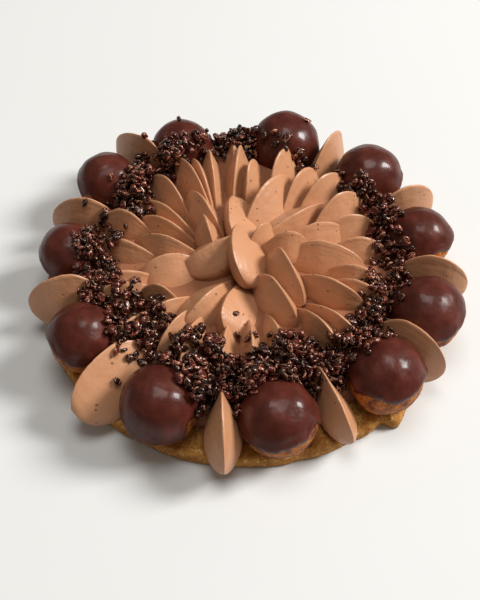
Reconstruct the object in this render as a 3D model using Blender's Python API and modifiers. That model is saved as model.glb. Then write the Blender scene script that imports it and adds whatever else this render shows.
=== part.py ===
"""Saint honoré cake: a baked pastry disc, a ring of eleven glazed choux, and whipped chocolate
cream piped in upright petals between the choux and over the middle, strewn with cacao nibs.

The origin is the centre of the pastry's underside. The cake stands on the plane z = 0, and the
side shown to the viewer is -Y. Azimuths are in degrees, anticlockwise from +X.
"""

import math
import random
from dataclasses import dataclass

import bmesh
import bpy
from mathutils import Matrix, Vector, noise
from mathutils.bvhtree import BVHTree

MM = 0.001

# Pastry disc
BASE_RADIUS = 121 * MM
BASE_THICKNESS = 9 * MM
BASE_SEGMENTS = 60
BASE_EDGE_BEVEL = 1.5 * MM
BASE_UNEVENNESS = 1.6 * MM
CRUST_TONGUE_AZIMUTH = -47
CRUST_TONGUE_LENGTH = 6 * MM
CRUST_TONGUE_HALF_ANGLE = 5

# Gap between neighbouring pieces, and the level that everything on the pastry stands on
GAP = 0.3 * MM
DECK = BASE_THICKNESS + GAP

# How far a space is grown past the piece in it. Flat faces cut a curve's corners, so each is a
# little more than the gap that it leaves.
GLAZE_SEAT = 1.2 * GAP
PUFF_SPACE = 2.2 * GAP
CORE_SPACE = 2.0 * GAP
PETAL_SPACE = 2.5 * GAP

# Choux
PUFF_CENTRE_HEIGHT = 26.5 * MM
PUFF_SEGMENTS = 14
PUFF_RINGS = 8
PUFF_UNEVENNESS = 0.035
PUFF_LOWER_BULGE = 1.05
PUFF_LUMP_SCALE = 1.6
GLAZE_THICKNESS = 1.0 * MM
GLAZE_RIM_WAVE = 0.28
GLAZE_RIM_LIMITS = (0.15, 0.95)

# Bed of cream under the middle petals. The larger its shoulder is, the flatter is its top and
# the steeper its side. The profile is parts of its radius.
CORE_RADIUS = 104 * MM
CORE_HEIGHT = 18 * MM
CORE_SHOULDER = 6
CORE_STEPS = 24
CORE_PROFILE = (0, 0.3, 0.55, 0.72, 0.84, 0.92, 0.975, 1)

# Petals: shape along the piping stroke, as parts of its length and height
NOSE_LEVEL = 0.35
NOSE_LENGTH = 0.30
CREST_FALL = 1.7
WIDEST_LEVEL = 0.25
FOOT_WIDTH = 0.9
SPREAD_SKEW = 0.72
LARGEST_BOW = 1.2 * MM
FINE_STATIONS = (0.04, 0.12, 0.24, 0.33, 0.48, 0.66, 0.84)
FINE_FACE_LEVELS = (0.62,)
COARSE_STATIONS = (0.05, 0.15, 0.31, 0.5, 0.7, 0.88)

# A grown petal's steep crest, keel and ends move by more than its growth, so that no face of it
# moves by less
CREST_GROWTH = 3
KEEL_GROWTH = 2
END_GROWTH = 2

# Cacao nibs
NIB_HALF_SIZES = (2.1 * MM, 1.5 * MM, 1.2 * MM)
NIB_LARGEST = 1.3
NIB_COUNT = 60
NIB_INNER_RADIUS = 62 * MM
NIB_OUTER_RADIUS = 98 * MM
NIB_LOWEST = DECK + 4 * MM
NIB_SINK = 0.45
NIB_CLEARANCE = 0.5 * MM
NIB_DROP_HEIGHT = 100 * MM
GOLDEN_ANGLE = 137.508
SEED = 9338


@dataclass
class Puff:
    """One choux. The glaze reaches down to rim_angle from the top, less on its bare side."""

    azimuth: float
    distance: float
    radius: float
    rim_angle: float
    bare_side: float
    tilt: float
    nibs_on_top: int = 0


PUFFS = (
    Puff(113, 104, 18.5, 108, 200, 8, nibs_on_top=1),
    Puff(75, 104, 21.0, 112, 90, 6, nibs_on_top=1),
    Puff(42, 107, 20.0, 104, 0, 12, nibs_on_top=1),
    Puff(10.5, 108, 19.0, 96, -60, 12),
    Puff(-18.5, 111, 20.5, 98, -60, 12),
    Puff(-45, 110, 21.0, 100, -80, 14, nibs_on_top=1),
    Puff(-80, 107, 20.5, 96, -60, 11),
    Puff(-115, 107, 21.0, 112, -30, 11),
    Puff(-149.5, 106, 19.0, 96, -130, 13),
    Puff(176, 104, 18.0, 102, -150, 10, nibs_on_top=1),
    Puff(143, 109, 18.5, 102, 200, 12),
)


@dataclass
class Petal:
    """One piped petal, in millimetres and degrees.

    azimuth and reach place its nose, which faces outwards. turn swings the stroke away from the
    radius and lean slants its crest sideways, both anticlockwise seen from above. seat and rise are
    the height of the stroke's line at the nose and how much it climbs to the inner end. peak is
    where along the stroke the crest is highest. The smaller fullness is, the blunter are the ends,
    and bulge is how far the faces curve out between the crest and the widest level. A fine petal
    has more sections.
    """

    azimuth: float
    reach: float
    height: float
    turn: float = 0
    lean: float = 0
    width: float = 19
    length: float = 53
    seat: float = 10
    rise: float = 7
    peak: float = 0.37
    fullness: float = 0.85
    bulge: float = 1.2
    fine: bool = False


def outer(azimuth, reach, height, **other):
    """A petal that stands between two choux."""
    shape = {"width": 18, "length": 57, "seat": 9.3, "rise": 0.6, "peak": 0.4, "fine": True}
    shape.update(other)
    return Petal(azimuth, reach, height, **shape)


def low(azimuth, reach, height, turn=0, **other):
    """A petal of the lowest inner ring."""
    return Petal(azimuth, reach, height, turn, **other)


def middle(azimuth, reach, height, turn=0, **other):
    """A petal of the middle ring, which climbs over the low ring."""
    shape = {"width": 20, "seat": 17, "rise": 6}
    shape.update(other)
    return Petal(azimuth, reach, height, turn, **shape)


def top(azimuth, reach, height, turn=0, **other):
    """A petal of the crown in the middle."""
    shape = {"width": 20, "length": 40, "seat": 25, "rise": 3}
    shape.update(other)
    return Petal(azimuth, reach, height, turn, **shape)


OUTER_PETALS = (
    outer(129, 134, 37, turn=17, lean=5, peak=0.48),
    outer(94, 112, 26),
    outer(59, 126, 36, fullness=1.0),
    outer(25, 132, 35, turn=-4),
    outer(-5, 133, 34.5, turn=-5, peak=0.42),
    outer(-33, 133, 38, lean=3, peak=0.48, fullness=1.0),
    outer(-62.5, 129, 31, turn=-1.5, lean=-6, width=18.5, length=50, peak=0.75, fullness=1.15),
    outer(-94.5, 135, 36.5, turn=7, lean=2, width=20.5, peak=0.52, fullness=1.4),
    outer(-131.5, 135.5, 30, turn=-9, lean=-26, length=70, width=22, peak=0.52, fullness=0.5),
    outer(-167.5, 129, 35.5, turn=-5, lean=-4, length=54, peak=0.5, fullness=0.95),
    outer(162, 126, 34, turn=12),
)

BLUNT = {"fullness": 0.5, "bulge": 1.7, "fine": True}

INNER_PETALS = (
    low(5, 89, 27.5, lean=8),
    low(19, 88, 28.5, -2, lean=8),
    low(32, 91, 32, 6, lean=10),
    low(44, 94, 32, -2, lean=10),
    low(55, 88, 32, 1, lean=12),
    low(67.5, 96, 34, -1.5, lean=12),
    low(81, 80, 34, -4, lean=10, length=44),
    low(91, 94, 35, -8, length=58),
    low(105, 93, 35, -7, length=58),
    low(113, 90, 33, -3, length=56),
    low(119, 94, 35, 0, length=64),
    low(132, 90, 33, -4),
    low(146, 82, 31, length=56),
    low(154, 75, 30, length=54),
    low(159, 94, 31, length=42),
    low(172, 96, 28, -6, length=56),
    low(-169, 94, 25.5, length=52),
    low(-163, 98, 25, -4, length=54),
    low(-160, 66, 29, -38, length=34, width=13),
    low(-144, 80, 24, -3),
    low(-141, 101, 28, 2, length=52),
    low(-127, 84, 28, 0),
    low(-113, 88, 30, 2, lean=-6, length=54),
    low(-99, 86, 29),
    low(-86, 84, 29),
    low(-72, 80, 28, length=50),
    low(-47, 84, 31, -3, lean=-8, length=47),
    low(-37.5, 89, 28, -1, lean=-8),
    low(-18, 86, 28, 2, length=48),
    low(-9, 84, 26, length=48),
    middle(19.5, 67, 23.5, -3.5, lean=8),
    middle(46.5, 70.5, 22.5, -9, lean=-20, length=72, width=23),
    middle(64, 71, 29, -8, lean=8, width=24, length=64),
    middle(125, 63, 28.5, -2),
    middle(168, 68, 26, -3, rise=3),
    middle(-168, 64, 25, -2, lean=-14, seat=14, rise=4, width=30),
    middle(-128, 62, 24.5, -2, lean=8, width=27),
    middle(-93, 57, 24, -7, lean=-24, width=26, length=48, peak=0.2, fullness=0.5),
    middle(-56.5, 55, 28.5, 5.5, lean=1, length=46, peak=0.5),
    middle(-44.5, 46.5, 28.5, -13, lean=6, seat=21, length=42, peak=0.6),
    middle(-22.5, 76, 26.5, -0.5, lean=-9, length=55),
    middle(-4, 72, 26, -3.5, lean=8, length=60, peak=0.45),
    top(92, 48.5, 19, 4, lean=29, width=19, length=58, seat=26, peak=0.5, **BLUNT),
    top(52, 27, 22, width=15, length=30),
    top(11, 39, 24, -7, length=34),
    top(135, 37, 25, -24, length=32, width=16),
    top(-170, 37, 19, 9, length=46, rise=9, seat=24, width=24, peak=0.62),
    top(-73, 25, 24, -11, lean=-28, width=21, length=58, seat=28, peak=0.3, **BLUNT),
)


def new_collection(name):
    """Add a collection to the scene."""
    collection = bpy.data.collections.new(name)
    bpy.context.scene.collection.children.link(collection)
    return collection


def material(name, colour, roughness, metallic=0.0):
    """A Principled material with a linear colour."""
    made = bpy.data.materials.new(name)
    made.use_nodes = True
    shader = made.node_tree.nodes["Principled BSDF"]
    shader.inputs["Base Color"].default_value = (*colour, 1.0)
    shader.inputs["Roughness"].default_value = roughness
    shader.inputs["Metallic"].default_value = metallic
    return made


def mesh_object(name, shape, collection, parent=None):
    """Turn a bmesh into an object in a collection."""
    mesh = bpy.data.meshes.new(name)
    shape.to_mesh(mesh)
    shape.free()
    thing = bpy.data.objects.new(name, mesh)
    collection.objects.link(thing)
    thing.parent = parent
    return thing


def polar(azimuth, distance, height=0.0):
    """A place from its azimuth in degrees, its distance from the axis and its height."""
    angle = math.radians(azimuth)
    return Vector((distance * math.cos(angle), distance * math.sin(angle), height))


def pastry_base(collection, parent):
    """The baked disc: a short cylinder with an uneven edge and one tongue of crust."""
    shape = bmesh.new()
    bmesh.ops.create_cone(
        shape,
        cap_ends=True,
        segments=BASE_SEGMENTS,
        radius1=BASE_RADIUS,
        radius2=BASE_RADIUS,
        depth=BASE_THICKNESS,
    )
    for vertex in shape.verts:
        azimuth = math.degrees(math.atan2(vertex.co.y, vertex.co.x))
        wave = noise.noise(polar(azimuth, 3.0)) + 0.5 * noise.noise(polar(azimuth, 9.0, 4.0))
        away = abs(azimuth - CRUST_TONGUE_AZIMUTH) / CRUST_TONGUE_HALF_ANGLE
        tongue = CRUST_TONGUE_LENGTH * max(0.0, 1.0 - away)
        radius = BASE_RADIUS + BASE_UNEVENNESS * wave + tongue
        vertex.co = polar(azimuth, radius, vertex.co.z + BASE_THICKNESS / 2)
    base = mesh_object("base", shape, collection, parent)
    bevel = base.modifiers.new("rounded edge", "BEVEL")
    bevel.width = BASE_EDGE_BEVEL
    bevel.segments = 1
    bevel.limit_method = "ANGLE"
    return base


def puff_sphere(puff, number, growth=0.0):
    """The choux's closed surface about its own centre, grown outwards by a distance.

    Its poles follow the glaze, so the rings of the mesh run along the glaze's rim, and its
    lower side is cut flat where it stands on the pastry.
    """
    shape = bmesh.new()
    bmesh.ops.create_uvsphere(
        shape, u_segments=PUFF_SEGMENTS, v_segments=PUFF_RINGS, radius=1.0
    )
    away_from_bare_side = polar(puff.bare_side + 180, 1.0)
    axis = Vector((0, 0, 1)).cross(away_from_bare_side)
    tilt = Matrix.Rotation(math.radians(puff.tilt), 3, axis)
    floor = DECK - PUFF_CENTRE_HEIGHT - growth
    for vertex in shape.verts:
        direction = tilt @ vertex.co.normalized()
        lump = noise.noise(direction * PUFF_LUMP_SCALE + Vector((7.0 * number, 0, 0)))
        radius = puff.radius * MM * (1 + PUFF_UNEVENNESS * lump) + growth
        place = direction * radius
        if place.z < 0:
            place.z *= PUFF_LOWER_BULGE
        place.z = max(place.z, floor)
        vertex.co = place
    return shape


def glaze_shell(puff, number, rng):
    """The open upper part of the choux's surface, with its rim slid along the meridians."""
    shape = puff_sphere(puff, number, growth=GLAZE_SEAT)
    bmesh.ops.recalc_face_normals(shape, faces=shape.faces)
    ring_step = 180.0 / PUFF_RINGS
    last_ring = int(puff.rim_angle // ring_step) + 1
    part_way = puff.rim_angle / ring_step - (last_ring - 1)
    shape.verts.ensure_lookup_table()
    rings = meridian_rings(shape)
    phase = rng.uniform(0, math.tau)
    least, most = GLAZE_RIM_LIMITS
    for column, vertex in enumerate(rings[last_ring]):
        turn = math.tau * column / PUFF_SEGMENTS
        wave = math.sin(3 * turn + phase) + 0.6 * math.sin(5 * turn + 2 * phase)
        share = min(most, max(least, part_way + GLAZE_RIM_WAVE * wave))
        above = rings[last_ring - 1][column].co
        vertex.co = above.lerp(vertex.co, share)
    beyond = [vertex for ring in rings[last_ring + 1:] for vertex in ring]
    bmesh.ops.delete(shape, geom=beyond, context="VERTS")
    return shape


def meridian_rings(shape):
    """The sphere's vertices as rings from its top pole, each in the order of its meridians."""
    top_pole = shape.verts[find_pole(shape)]
    rings = [[top_pole]]
    ring = sorted_ring(top_pole)
    previous = {top_pole}
    while len(ring) > 1:
        rings.append(ring)
        following = []
        seen = previous | set(ring)
        for vertex in ring:
            onward = [edge.other_vert(vertex) for edge in vertex.link_edges]
            outside = [other for other in onward if other not in seen]
            following.append(outside[0])
        previous = set(ring)
        ring = following if len(set(following)) > 1 else [following[0]]
    rings.append(ring)
    return rings


def find_pole(shape):
    """Index of the pole vertex that lies higher."""
    poles = [vertex for vertex in shape.verts if len(vertex.link_edges) == PUFF_SEGMENTS]
    return max(poles, key=lambda vertex: vertex.co.z).index


def sorted_ring(pole):
    """The pole's neighbours, in order round it."""
    corner = pole.link_loops[0]
    ring = []
    for _ in range(PUFF_SEGMENTS):
        ring.append(corner.link_loop_next.vert)
        corner = corner.link_loop_prev.link_loop_radial_next
    return ring


def choux(collection, parent, rng):
    """All choux and their glazes."""
    crusts = []
    glazes = []
    for number, puff in enumerate(PUFFS, start=1):
        place = polar(puff.azimuth, puff.distance * MM, PUFF_CENTRE_HEIGHT)
        crust = mesh_object(f"puff_{number:02d}", puff_sphere(puff, number), collection, parent)
        crust.location = place
        glaze = mesh_object(
            f"glaze_{number:02d}", glaze_shell(puff, number, rng), collection, parent
        )
        glaze.location = place
        skin = glaze.modifiers.new("thickness", "SOLIDIFY")
        skin.thickness = GLAZE_THICKNESS
        skin.offset = 1
        crusts.append(crust)
        glazes.append(glaze)
    return crusts, glazes


def choux_cutters(collection):
    """Each choux with its glaze and a gap round it, to cut the cream back with."""
    growth = GLAZE_THICKNESS + PUFF_SPACE
    for number, puff in enumerate(PUFFS, start=1):
        cutter = mesh_object(
            f"puff_space_{number:02d}", puff_sphere(puff, number, growth), collection
        )
        cutter.location = polar(puff.azimuth, puff.distance * MM, PUFF_CENTRE_HEIGHT)
        hide_as_cutter(cutter)


def hide_as_cutter(thing):
    """Mark an object as a construction aid."""
    thing.hide_render = True
    thing.display_type = "WIRE"


def crest_level(along, peak):
    """Height of the crest at a part of the stroke: a round nose, a peak, then a long fall."""
    if along < peak:
        nearness = 1 - ((peak - along) / peak) ** 2
        return NOSE_LEVEL + (1 - NOSE_LEVEL) * math.sqrt(nearness)
    return 1 - ((along - peak) / (1 - peak)) ** CREST_FALL


def keel_level(along):
    """Height of the underside, which curves up to the nose."""
    if along >= NOSE_LENGTH:
        return 0.0
    nearness = 1 - ((NOSE_LENGTH - along) / NOSE_LENGTH) ** 2
    return NOSE_LEVEL * (1 - math.sqrt(nearness))


def half_section(petal, along, growth):
    """Half of the petal's upright section at a part of the stroke, from its foot to its crest.

    It is a list of distances from the stroke's line and heights. Behind the nose the section
    reaches down to the deck, so that no hollow is left below.
    """
    height = petal.height * MM
    line = petal.rise * MM * along
    crest = line + height * crest_level(along, petal.peak) + CREST_GROWTH * growth
    keel = line + height * keel_level(along) - KEEL_GROWTH * growth
    roundness = math.sin(math.pi * along ** SPREAD_SKEW) ** petal.fullness
    spread = (petal.width * MM / 2 + growth) * roundness
    foot = spread * FOOT_WIDTH * min(1.0, along / NOSE_LENGTH)
    deck = DECK - petal.seat * MM
    bottom = keel if along <= NOSE_LENGTH else min(keel, deck)
    half = [(0, bottom), (foot, bottom), (spread, keel + WIDEST_LEVEL * (crest - keel))]
    for level in FINE_FACE_LEVELS if petal.fine else ():
        share = 1 - ((level - WIDEST_LEVEL) / (1 - WIDEST_LEVEL)) ** petal.bulge
        half.append((spread * share, keel + level * (crest - keel)))
    half.append((0, crest))
    return half


def petal_shape(petal, rng, growth=0.0):
    """The petal's closed surface: a loft of upright wedge sections along the stroke.

    It points along +X from the inner end to the nose at x = 0, and its line is at z = 0. lean
    slants the sections, and their crests bow sideways by a random amount.
    """
    end_growth = END_GROWTH * growth
    length = petal.length * MM + 2 * end_growth
    bow = rng.uniform(-LARGEST_BOW, LARGEST_BOW)
    slope = math.tan(math.radians(petal.lean))
    shape = bmesh.new()
    nose_height = petal.height * MM * NOSE_LEVEL
    nose = shape.verts.new((end_growth, slope * nose_height, nose_height))
    rings = []
    for along in FINE_STATIONS if petal.fine else COARSE_STATIONS:
        half = half_section(petal, along, growth)
        bottom = half[0][1]
        crest = half[-1][1]
        drift = bow * math.sin(math.pi * along)
        ring = []
        for side, height in half + [(-y, z) for y, z in reversed(half[1:-1])]:
            level = (height - bottom) / (crest - bottom)
            y = side + slope * height + drift * level
            ring.append(shape.verts.new((end_growth - along * length, y, height)))
        rings.append(ring)
    tail = shape.verts.new((end_growth - length, 0, petal.rise * MM))
    for first, second in zip(rings, rings[1:]):
        for index in range(len(first)):
            after = (index + 1) % len(first)
            shape.faces.new((first[index], first[after], second[after], second[index]))
    for index in range(len(rings[0])):
        after = (index + 1) % len(rings[0])
        shape.faces.new((nose, rings[0][after], rings[0][index]))
        shape.faces.new((tail, rings[-1][index], rings[-1][after]))
    bmesh.ops.recalc_face_normals(shape, faces=shape.faces)
    return shape


def petal_object(name, petal, rng, collection, parent=None, growth=0.0):
    """A petal with its nose at its azimuth and reach."""
    thing = mesh_object(name, petal_shape(petal, rng, growth), collection, parent)
    thing.location = polar(petal.azimuth, petal.reach * MM, petal.seat * MM)
    heading = math.radians(petal.azimuth + petal.turn)
    thing.rotation_euler = (0, 0, heading)
    return thing


def core_object(name, collection, growth=0.0):
    """The bed of cream under the middle petals, turned from its profile."""
    points = []
    for share in CORE_PROFILE:
        level = math.sqrt(1 - share ** CORE_SHOULDER)
        height = DECK + (CORE_HEIGHT + growth) * level
        points.append(((CORE_RADIUS + growth) * share, 0, height))
    points.append((0, 0, DECK))
    mesh = bpy.data.meshes.new(name)
    edges = [(index, index + 1) for index in range(len(points) - 1)]
    mesh.from_pydata(points, edges, [])
    core = bpy.data.objects.new(name, mesh)
    collection.objects.link(core)
    turned = core.modifiers.new("turned", "SCREW")
    turned.steps = CORE_STEPS
    turned.render_steps = CORE_STEPS
    turned.use_merge_vertices = True
    turned.merge_threshold = 0.00001
    return core


def apply_modifiers(thing):
    """Put the finished shape into the object's own mesh."""
    bpy.context.view_layer.update()
    depsgraph = bpy.context.evaluated_depsgraph_get()
    finished = bpy.data.meshes.new_from_object(thing.evaluated_get(depsgraph))
    thing.modifiers.clear()
    thing.data = finished


def combine(thing, operation, collection, solver="EXACT"):
    """Join a collection's objects to an object, or cut them out of it."""
    boolean = thing.modifiers.new(operation.lower(), "BOOLEAN")
    boolean.operation = operation
    boolean.operand_type = "COLLECTION"
    boolean.collection = collection
    boolean.solver = solver
    apply_modifiers(thing)


def keep_main_body(thing):
    """Fill sealed hollows and drop loose scraps: only the largest closed shell stays."""
    shape = bmesh.new()
    shape.from_mesh(thing.data)
    bmesh.ops.triangulate(shape, faces=shape.faces)
    unseen = set(shape.faces)
    shells = []
    while unseen:
        shell = {unseen.pop()}
        to_visit = list(shell)
        while to_visit:
            face = to_visit.pop()
            around = {other for edge in face.edges for other in edge.link_faces}
            found = around & unseen
            unseen -= found
            shell |= found
            to_visit += found
        shells.append(shell)
    main = max(shells, key=shell_volume)
    spare = [face for shell in shells if shell is not main for face in shell]
    bmesh.ops.delete(shape, geom=spare, context="FACES")
    shape.to_mesh(thing.data)
    shape.free()


def shell_volume(shell):
    """Volume inside a closed set of triangles."""
    total = 0.0
    for face in shell:
        first, second, third = (vertex.co for vertex in face.verts)
        total += first.dot(second.cross(third)) / 6
    return total


def surface_of(things):
    """A search tree over the evaluated surfaces of some objects, in world space."""
    bpy.context.view_layer.update()
    depsgraph = bpy.context.evaluated_depsgraph_get()
    places = []
    faces = []
    for thing in things:
        evaluated = thing.evaluated_get(depsgraph)
        mesh = evaluated.to_mesh()
        start = len(places)
        places += [thing.matrix_world @ vertex.co for vertex in mesh.vertices]
        faces += [[start + index for index in face.vertices] for face in mesh.polygons]
        evaluated.to_mesh_clear()
    return BVHTree.FromPolygons(places, faces)


def nib_object(name, place, rng, collection):
    """One cacao nib: a short uneven grain."""
    shape = bmesh.new()
    bmesh.ops.create_uvsphere(shape, u_segments=4, v_segments=4, radius=1.0)
    size = rng.uniform(0.85, 1.15)
    for vertex in shape.verts:
        vertex.co = Vector([part * size * half for part, half in zip(vertex.co, NIB_HALF_SIZES)])
        vertex.co *= rng.uniform(0.9, 1.12)
    nib = mesh_object(name, shape, collection)
    nib.location = place
    nib.rotation_euler = [rng.uniform(0, math.tau) for _ in range(3)]
    return nib


def drop_nib(name, spot, surface, others, rng, collection):
    """Lay a nib on the surface below a spot, if it would stay clear of all other pieces."""
    start = Vector((spot.x, spot.y, NIB_DROP_HEIGHT))
    hit, _, _, _ = surface.ray_cast(start, Vector((0, 0, -1)))
    if hit is None or hit.z < NIB_LOWEST:
        return
    place = hit + Vector((0, 0, NIB_SINK * NIB_HALF_SIZES[1]))
    _, _, _, distance = others.find_nearest(place)
    if distance > NIB_HALF_SIZES[0] * NIB_LARGEST + NIB_CLEARANCE:
        nib_object(name, place, rng, collection)


def ring_spots(count, rng):
    """Spots spread evenly over the nibs' ring by the golden angle, each shifted a little."""
    inner = NIB_INNER_RADIUS ** 2
    outer_square = NIB_OUTER_RADIUS ** 2
    for index in range(count):
        share = (index + 0.5) / count
        radius = math.sqrt(inner + (outer_square - inner) * share)
        azimuth = index * GOLDEN_ANGLE + rng.uniform(-3, 3)
        yield polar(azimuth, radius + rng.uniform(-2, 2) * MM)


def empty_collection(collection):
    """Remove a collection with the objects in it."""
    for thing in list(collection.objects):
        bpy.data.objects.remove(thing, do_unlink=True)
    bpy.data.collections.remove(collection)


def build_outer_petals(collection, parent, puff_spaces):
    """The petals between the choux, cut back from the choux and from the middle cream."""
    rosette_space = new_collection("rosette space")
    core_object("core_space", rosette_space, growth=CORE_SPACE)
    for number, petal in enumerate(INNER_PETALS, start=1):
        rng = random.Random(SEED + number)
        name = f"inner_space_{number:02d}"
        petal_object(name, petal, rng, rosette_space, growth=PETAL_SPACE)
    petals = []
    for number, petal in enumerate(OUTER_PETALS, start=1):
        rng = random.Random(SEED - number)
        thing = petal_object(f"petal_{number:02d}", petal, rng, collection, parent)
        combine(thing, "DIFFERENCE", puff_spaces)
        combine(thing, "DIFFERENCE", rosette_space)
        keep_main_body(thing)
        petals.append(thing)
    empty_collection(rosette_space)
    return petals


def build_rosette(collection, parent, puff_spaces, neighbours):
    """The middle cream: core, inner petals and the nibs on them, joined into one solid.

    So many petals cross here that the exact solver leaves open edges, hence the other one.
    """
    pieces = new_collection("rosette pieces")
    rosette = core_object("rosette", collection)
    rosette.parent = parent
    apply_modifiers(rosette)
    petals = []
    for number, petal in enumerate(INNER_PETALS, start=1):
        rng = random.Random(SEED + number)
        petals.append(petal_object(f"inner_petal_{number:02d}", petal, rng, pieces))
    surface = surface_of([rosette, *petals])
    others = surface_of(neighbours)
    rng = random.Random(SEED)
    for index, spot in enumerate(ring_spots(NIB_COUNT, rng)):
        drop_nib(f"nib_{index:03d}", spot, surface, others, rng, pieces)
    combine(rosette, "UNION", pieces, solver="MANIFOLD")
    combine(rosette, "DIFFERENCE", puff_spaces, solver="MANIFOLD")
    keep_main_body(rosette)
    empty_collection(pieces)
    return rosette


def nibs_on_choux(glazes, others, rng):
    """A few nibs on the tops of the choux that carry some, on their inner side."""
    clear = surface_of(others)
    for puff, glaze in zip(PUFFS, glazes):
        if not puff.nibs_on_top:
            continue
        pieces = new_collection("stray nibs")
        surface = surface_of([glaze])
        for index in range(puff.nibs_on_top):
            distance = (puff.distance - rng.uniform(4, 12)) * MM
            spot = polar(puff.azimuth + rng.uniform(-4, 4), distance)
            drop_nib(f"stray_{index}", spot, surface, clear, rng, pieces)
        apply_modifiers(glaze)
        combine(glaze, "UNION", pieces)
        keep_main_body(glaze)
        empty_collection(pieces)


def paint(things, colour, roughness):
    """Give each object its own material, named after it."""
    for thing in things:
        thing.data.materials.clear()
        thing.data.materials.append(material(thing.name + "_surface", colour, roughness))
        thing.data.shade_smooth()
        thing.data.set_sharp_from_angle(angle=math.radians(40))


def main():
    """Build the cake."""
    for thing in list(bpy.data.objects):
        bpy.data.objects.remove(thing, do_unlink=True)
    cake = new_collection("saint_honore_cake")
    puff_spaces = new_collection("cutters")
    stand = bpy.data.objects.new("cake_origin", None)
    cake.objects.link(stand)
    rng = random.Random(SEED)

    base = pastry_base(cake, stand)
    crusts, glazes = choux(cake, stand, rng)
    choux_cutters(puff_spaces)
    petals = build_outer_petals(cake, stand, puff_spaces)
    rosette = build_rosette(cake, stand, puff_spaces, glazes + crusts + petals)
    nibs_on_choux(glazes, petals + [rosette], rng)

    paint([base], (0.52, 0.25, 0.06), 0.75)
    paint(crusts, (0.45, 0.17, 0.04), 0.6)
    paint(glazes, (0.035, 0.012, 0.008), 0.25)
    paint(petals, (0.5, 0.25, 0.13), 0.5)
    paint([rosette], (0.5, 0.25, 0.13), 0.5)


main()
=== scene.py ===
"""Looks of the saint honoré cake: piped chocolate cream, glazed choux, pastry disc, cacao nibs.

Lengths are metres in the cake's own frame, +Z up, with -Y towards the viewer. Azimuths are in
degrees, anticlockwise from +X.
"""

import math
import random
from dataclasses import dataclass

import bpy
import numpy as np
from mathutils import Matrix, Vector, noise
from mathutils.bvhtree import BVHTree


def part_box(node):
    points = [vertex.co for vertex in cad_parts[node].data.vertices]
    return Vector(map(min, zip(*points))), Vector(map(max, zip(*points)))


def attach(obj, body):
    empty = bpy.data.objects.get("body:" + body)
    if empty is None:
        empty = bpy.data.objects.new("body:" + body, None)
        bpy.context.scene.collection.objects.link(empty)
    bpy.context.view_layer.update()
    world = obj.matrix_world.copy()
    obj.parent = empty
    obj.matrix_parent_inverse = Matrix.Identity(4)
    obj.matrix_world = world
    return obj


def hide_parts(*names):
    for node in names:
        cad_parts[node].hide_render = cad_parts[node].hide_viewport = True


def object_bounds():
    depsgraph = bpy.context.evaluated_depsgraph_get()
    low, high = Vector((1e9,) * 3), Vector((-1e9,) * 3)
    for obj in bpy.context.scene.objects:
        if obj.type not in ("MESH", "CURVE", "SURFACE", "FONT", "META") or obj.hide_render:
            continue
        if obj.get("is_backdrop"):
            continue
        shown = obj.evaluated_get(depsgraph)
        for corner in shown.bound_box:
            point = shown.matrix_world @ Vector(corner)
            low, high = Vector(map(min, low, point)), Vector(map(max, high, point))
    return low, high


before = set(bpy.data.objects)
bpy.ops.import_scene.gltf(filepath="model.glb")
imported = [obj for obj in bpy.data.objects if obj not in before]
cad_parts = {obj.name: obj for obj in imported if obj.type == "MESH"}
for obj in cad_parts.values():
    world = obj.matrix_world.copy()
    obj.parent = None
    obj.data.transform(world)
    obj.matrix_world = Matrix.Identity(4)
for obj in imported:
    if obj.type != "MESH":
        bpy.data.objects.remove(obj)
solid_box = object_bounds()

MM = 0.001
SEED = 9338

# The level on which the choux and the cream stand
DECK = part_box("puff_01")[0].z

# Pastry disc. DISC_TOP and DISC_EDGE are in millimetres: the edge's places, from the foot
# upwards, are distances out from the rim and heights. The top's rings are DISC_INNER from the rim.
# The tongue rises over TONGUE_RISE degrees on one side and breaks off over TONGUE_BREAK degrees.
DISC_RADIUS = 121 * MM
DISC_UNEVENNESS = 1.6 * MM
DISC_COLUMNS = 420
DISC_TOP = 9.3
DISC_EDGE = [(-3.0, 0.0), (-1.2, 0.0), (-0.4, 0.5), (0.0, 1.6), (0.15, 3.2), (0.1, 5.0)]
DISC_EDGE += [(0.0, 6.6), (-0.3, 7.9), (-0.9, 8.8), (-1.8, 9.25), (-2.8, DISC_TOP)]
DISC_INNER = [-4.0, -5.4, -7.0, -9.0, -11.5, -14.5, -18.0, -22.0, -27.0, -33.0, -42.0, -60.0]
COARSE_CRUMB = 11 * MM
FINE_CRUMB = 3.5 * MM
TONGUE_AZIMUTH = -48.5
TONGUE_LENGTH = 8 * MM
TONGUE_RISE = 11
TONGUE_BREAK = 2

# Choux and their glaze. GLAZE_FLOWS are the width and the height of the glaze's unevenness, the
# sag is its thickening near the rim, and notches are in degrees.
PUFF_CENTRE_HEIGHT = 26.5 * MM
PUFF_UNEVENNESS = 0.035
PUFF_LUMP_SCALE = 1.6
PUFF_LOWER_BULGE = 1.05
PUFF_COLUMNS = 88
PUFF_ROWS = 44
GLAZE_SEAT = 0.3 * MM
GLAZE_THICKNESS = 1.1 * MM
GLAZE_ROWS = 40
GLAZE_FLOWS = ((12 * MM, 0.35 * MM), (4 * MM, 0.1 * MM))
SAG_GAIN = 0.5
SAG_PLACE = 0.9
SAG_WIDTH = 0.06
NOTCH_DEPTH = 20
NOTCH_HALF_WIDTH = 15

# Bed of cream under the middle petals and the nibs
CORE_RADIUS = 104 * MM
CORE_HEIGHT = 18 * MM
CORE_SHOULDER = 6.0
CORE_ROWS = 40
CORE_COLUMNS = 180

# Petals: shape along the piping stroke, as parts of its length and height
NOSE_LEVEL = 0.35
NOSE_LENGTH = 0.30
CREST_FALL = 1.7
WIDEST_LEVEL = 0.25
FOOT_WIDTH = 0.9
SPREAD_SKEW = 0.72
LARGEST_BOW = 1.2 * MM
CREST_RADIUS = 0.35 * MM

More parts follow.
